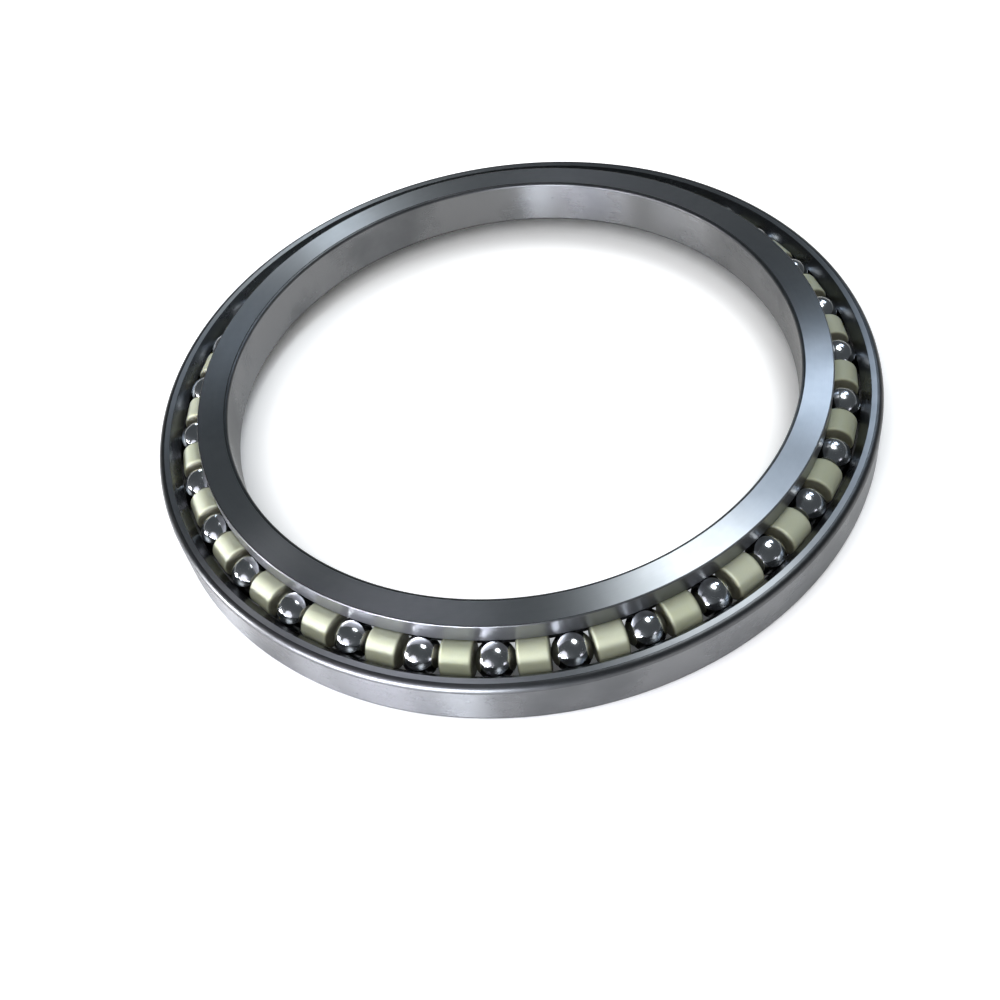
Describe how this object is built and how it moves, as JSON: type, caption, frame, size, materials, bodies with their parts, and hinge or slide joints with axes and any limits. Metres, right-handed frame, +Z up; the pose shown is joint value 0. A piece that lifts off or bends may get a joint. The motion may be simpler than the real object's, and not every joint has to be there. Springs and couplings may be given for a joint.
{
  "type": "excavator travel bearing",
  "caption": "Large thin-section angular contact ball bearing with two offset rings and one row of steel balls kept apart by loose plastic spacers.",
  "frame": {"origin": "on the bearing's axis, in the plane of the outer ring's back face that it stands on", "axes": "+Z up along the bearing's axis, from the outer ring's back face to the inner ring's; X and Y across the bearing"},
  "size_m": [0.313, 0.313, 0.032],
  "materials": {
    "ring_steel": "finely ground bearing steel",
    "ball_steel": "mirror polished",
    "spacer_nylon": "semi-gloss ivory nylon"
  },
  "bodies": {
    "fixed_ring": {"outer_ring": "ring_steel"},
    "turning_ring": {"inner_ring": "ring_steel"},
    "ball_train": {"spacers_01": "spacer_nylon", "spacers_02": "spacer_nylon", "spacers_03": "spacer_nylon", "spacers_04": "spacer_nylon", "spacers_05": "spacer_nylon", "spacers_06": "spacer_nylon", "spacers_07": "spacer_nylon", "spacers_08": "spacer_nylon", "spacers_09": "spacer_nylon", "spacers_10": "spacer_nylon", "spacers_11": "spacer_nylon", "spacers_12": "spacer_nylon", "spacers_13": "spacer_nylon", "spacers_14": "spacer_nylon", "spacers_15": "spacer_nylon", "spacers_16": "spacer_nylon"},
    "ball_01_body": {"ball_01": "ball_steel"},
    "ball_02_body": {"ball_02": "ball_steel"},
    "ball_03_body": {"ball_03": "ball_steel"},
    "ball_04_body": {"ball_04": "ball_steel"},
    "ball_05_body": {"ball_05": "ball_steel"},
    "ball_06_body": {"ball_06": "ball_steel"},
    "ball_07_body": {"ball_07": "ball_steel"},
    "ball_08_body": {"ball_08": "ball_steel"},
    "ball_09_body": {"ball_09": "ball_steel"},
    "ball_10_body": {"ball_10": "ball_steel"},
    "ball_11_body": {"ball_11": "ball_steel"},
    "ball_12_body": {"ball_12": "ball_steel"},
    "ball_13_body": {"ball_13": "ball_steel"},
    "ball_14_body": {"ball_14": "ball_steel"},
    "ball_15_body": {"ball_15": "ball_steel"},
    "ball_16_body": {"ball_16": "ball_steel"},
    "ball_17_body": {"ball_17": "ball_steel"},
    "ball_18_body": {"ball_18": "ball_steel"},
    "ball_19_body": {"ball_19": "ball_steel"},
    "ball_20_body": {"ball_20": "ball_steel"},
    "ball_21_body": {"ball_21": "ball_steel"},
    "ball_22_body": {"ball_22": "ball_steel"},
    "ball_23_body": {"ball_23": "ball_steel"},
    "ball_24_body": {"ball_24": "ball_steel"},
    "ball_25_body": {"ball_25": "ball_steel"},
    "ball_26_body": {"ball_26": "ball_steel"},
    "ball_27_body": {"ball_27": "ball_steel"},
    "ball_28_body": {"ball_28": "ball_steel"},
    "ball_29_body": {"ball_29": "ball_steel"},
    "ball_30_body": {"ball_30": "ball_steel"},
    "ball_31_body": {"ball_31": "ball_steel"}
  },
  "joints": [
    {"name": "inner_ring_spin", "type": "hinge", "parent": "fixed_ring", "child": "turning_ring", "pos_m": [0, 0, 0.016], "axis": [0, 0, 1], "continuous": true},
    {"name": "train_orbit", "type": "hinge", "parent": "fixed_ring", "child": "ball_train", "pos_m": [0, 0, 0.016], "axis": [0, 0, 1], "continuous": true},
    {"name": "ball_01_roll", "type": "hinge", "parent": "ball_train", "child": "ball_01_body", "pos_m": [0.1392, 0.01242, 0.016], "axis": [0.6402, 0.0571, 0.766], "continuous": true},
    {"name": "ball_02_roll", "type": "hinge", "parent": "ball_train", "child": "ball_02_body", "pos_m": [0.13385, 0.04019, 0.016], "axis": [0.6156, 0.1849, 0.766], "continuous": true},
    {"name": "ball_03_roll", "type": "hinge", "parent": "ball_train", "child": "ball_03_body", "pos_m": [0.12302, 0.06631, 0.016], "axis": [0.5658, 0.305, 0.766], "continuous": true},
    {"name": "ball_04_roll", "type": "hinge", "parent": "ball_train", "child": "ball_04_body", "pos_m": [0.10715, 0.08972, 0.016], "axis": [0.4928, 0.4126, 0.766], "continuous": true},
    {"name": "ball_05_roll", "type": "hinge", "parent": "ball_train", "child": "ball_05_body", "pos_m": [0.0869, 0.10945, 0.016], "axis": [0.3997, 0.5034, 0.766], "continuous": true},
    {"name": "ball_06_roll", "type": "hinge", "parent": "ball_train", "child": "ball_06_body", "pos_m": [0.06309, 0.1247, 0.016], "axis": [0.2902, 0.5736, 0.766], "continuous": true},
    {"name": "ball_07_roll", "type": "hinge", "parent": "ball_train", "child": "ball_07_body", "pos_m": [0.03669, 0.13485, 0.016], "axis": [0.1688, 0.6202, 0.766], "continuous": true},
    {"name": "ball_08_roll", "type": "hinge", "parent": "ball_train", "child": "ball_08_body", "pos_m": [0.0088, 0.13947, 0.016], "axis": [0.0405, 0.6415, 0.766], "continuous": true},
    {"name": "ball_09_roll", "type": "hinge", "parent": "ball_train", "child": "ball_09_body", "pos_m": [-0.01946, 0.13839, 0.016], "axis": [-0.0895, 0.6365, 0.766], "continuous": true},
    {"name": "ball_10_roll", "type": "hinge", "parent": "ball_train", "child": "ball_10_body", "pos_m": [-0.04692, 0.13164, 0.016], "axis": [-0.2158, 0.6055, 0.766], "continuous": true},
    {"name": "ball_11_roll", "type": "hinge", "parent": "ball_train", "child": "ball_11_body", "pos_m": [-0.07245, 0.1195, 0.016], "axis": [-0.3333, 0.5496, 0.766], "continuous": true},
    {"name": "ball_12_roll", "type": "hinge", "parent": "ball_train", "child": "ball_12_body", "pos_m": [-0.09503, 0.10247, 0.016], "axis": [-0.4371, 0.4713, 0.766], "continuous": true},
    {"name": "ball_13_roll", "type": "hinge", "parent": "ball_train", "child": "ball_13_body", "pos_m": [-0.11371, 0.08124, 0.016], "axis": [-0.523, 0.3737, 0.766], "continuous": true},
    {"name": "ball_14_roll", "type": "hinge", "parent": "ball_train", "child": "ball_14_body", "pos_m": [-0.12774, 0.05669, 0.016], "axis": [-0.5875, 0.2608, 0.766], "continuous": true},
    {"name": "ball_15_roll", "type": "hinge", "parent": "ball_train", "child": "ball_15_body", "pos_m": [-0.13653, 0.02982, 0.016], "axis": [-0.628, 0.1371, 0.766], "continuous": true},
    {"name": "ball_16_roll", "type": "hinge", "parent": "ball_train", "child": "ball_16_body", "pos_m": [-0.13974, 0.00172, 0.016], "axis": [-0.6427, 0.0079, 0.766], "continuous": true},
    {"name": "ball_17_roll", "type": "hinge", "parent": "ball_train", "child": "ball_17_body", "pos_m": [-0.13723, -0.02644, 0.016], "axis": [-0.6312, -0.1216, 0.766], "continuous": true},
    {"name": "ball_18_roll", "type": "hinge", "parent": "ball_train", "child": "ball_18_body", "pos_m": [-0.12909, -0.05352, 0.016], "axis": [-0.5938, -0.2462, 0.766], "continuous": true},
    {"name": "ball_19_roll", "type": "hinge", "parent": "ball_train", "child": "ball_19_body", "pos_m": [-0.11568, -0.07841, 0.016], "axis": [-0.5321, -0.3607, 0.766], "continuous": true},
    {"name": "ball_20_roll", "type": "hinge", "parent": "ball_train", "child": "ball_20_body", "pos_m": [-0.09752, -0.1001, 0.016], "axis": [-0.4486, -0.4604, 0.766], "continuous": true},
    {"name": "ball_21_roll", "type": "hinge", "parent": "ball_train", "child": "ball_21_body", "pos_m": [-0.07538, -0.11768, 0.016], "axis": [-0.3467, -0.5413, 0.766], "continuous": true},
    {"name": "ball_22_roll", "type": "hinge", "parent": "ball_train", "child": "ball_22_body", "pos_m": [-0.05015, -0.13044, 0.016], "axis": [-0.2307, -0.6, 0.766], "continuous": true},
    {"name": "ball_23_roll", "type": "hinge", "parent": "ball_train", "child": "ball_23_body", "pos_m": [-0.02286, -0.13787, 0.016], "axis": [-0.1052, -0.6341, 0.766], "continuous": true},
    {"name": "ball_24_roll", "type": "hinge", "parent": "ball_train", "child": "ball_24_body", "pos_m": [0.00536, -0.13965, 0.016], "axis": [0.0246, -0.6423, 0.766], "continuous": true},
    {"name": "ball_25_roll", "type": "hinge", "parent": "ball_train", "child": "ball_25_body", "pos_m": [0.03336, -0.13571, 0.016], "axis": [0.1534, -0.6242, 0.766], "continuous": true},
    {"name": "ball_26_roll", "type": "hinge", "parent": "ball_train", "child": "ball_26_body", "pos_m": [0.05999, -0.12622, 0.016], "axis": [0.2759, -0.5805, 0.766], "continuous": true},
    {"name": "ball_27_roll", "type": "hinge", "parent": "ball_train", "child": "ball_27_body", "pos_m": [0.08417, -0.11156, 0.016], "axis": [0.3872, -0.5131, 0.766], "continuous": true},
    {"name": "ball_28_roll", "type": "hinge", "parent": "ball_train", "child": "ball_28_body", "pos_m": [0.10491, -0.09233, 0.016], "axis": [0.4825, -0.4247, 0.766], "continuous": true},
    {"name": "ball_29_roll", "type": "hinge", "parent": "ball_train", "child": "ball_29_body", "pos_m": [0.12134, -0.06932, 0.016], "axis": [0.5581, -0.3189, 0.766], "continuous": true},
    {"name": "ball_30_roll", "type": "hinge", "parent": "ball_train", "child": "ball_30_body", "pos_m": [0.13281, -0.04348, 0.016], "axis": [0.6109, -0.2, 0.766], "continuous": true},
    {"name": "ball_31_roll", "type": "hinge", "parent": "ball_train", "child": "ball_31_body", "pos_m": [0.13885, -0.01585, 0.016], "axis": [0.6386, -0.0729, 0.766], "continuous": true}
  ],
  "couplings": [
    {"joint": "train_orbit", "follows": "inner_ring_spin", "ratio": 0.47824},
    {"joint": "ball_01_roll", "follows": "inner_ring_spin", "ratio": -8.7865},
    {"joint": "ball_02_roll", "follows": "inner_ring_spin", "ratio": -8.7865},
    {"joint": "ball_03_roll", "follows": "inner_ring_spin", "ratio": -8.7865},
    {"joint": "ball_04_roll", "follows": "inner_ring_spin", "ratio": -8.7865},
    {"joint": "ball_05_roll", "follows": "inner_ring_spin", "ratio": -8.7865},
    {"joint": "ball_06_roll", "follows": "inner_ring_spin", "ratio": -8.7865},
    {"joint": "ball_07_roll", "follows": "inner_ring_spin", "ratio": -8.7865},
    {"joint": "ball_08_roll", "follows": "inner_ring_spin", "ratio": -8.7865},
    {"joint": "ball_09_roll", "follows": "inner_ring_spin", "ratio": -8.7865},
    {"joint": "ball_10_roll", "follows": "inner_ring_spin", "ratio": -8.7865},
    {"joint": "ball_11_roll", "follows": "inner_ring_spin", "ratio": -8.7865},
    {"joint": "ball_12_roll", "follows": "inner_ring_spin", "ratio": -8.7865},
    {"joint": "ball_13_roll", "follows": "inner_ring_spin", "ratio": -8.7865},
    {"joint": "ball_14_roll", "follows": "inner_ring_spin", "ratio": -8.7865},
    {"joint": "ball_15_roll", "follows": "inner_ring_spin", "ratio": -8.7865},
    {"joint": "ball_16_roll", "follows": "inner_ring_spin", "ratio": -8.7865},
    {"joint": "ball_17_roll", "follows": "inner_ring_spin", "ratio": -8.7865},
    {"joint": "ball_18_roll", "follows": "inner_ring_spin", "ratio": -8.7865},
    {"joint": "ball_19_roll", "follows": "inner_ring_spin", "ratio": -8.7865},
    {"joint": "ball_20_roll", "follows": "inner_ring_spin", "ratio": -8.7865},
    {"joint": "ball_21_roll", "follows": "inner_ring_spin", "ratio": -8.7865},
    {"joint": "ball_22_roll", "follows": "inner_ring_spin", "ratio": -8.7865},
    {"joint": "ball_23_roll", "follows": "inner_ring_spin", "ratio": -8.7865},
    {"joint": "ball_24_roll", "follows": "inner_ring_spin", "ratio": -8.7865},
    {"joint": "ball_25_roll", "follows": "inner_ring_spin", "ratio": -8.7865},
    {"joint": "ball_26_roll", "follows": "inner_ring_spin", "ratio": -8.7865},
    {"joint": "ball_27_roll", "follows": "inner_ring_spin", "ratio": -8.7865},
    {"joint": "ball_28_roll", "follows": "inner_ring_spin", "ratio": -8.7865},
    {"joint": "ball_29_roll", "follows": "inner_ring_spin", "ratio": -8.7865},
    {"joint": "ball_30_roll", "follows": "inner_ring_spin", "ratio": -8.7865},
    {"joint": "ball_31_roll", "follows": "inner_ring_spin", "ratio": -8.7865}
  ]
}
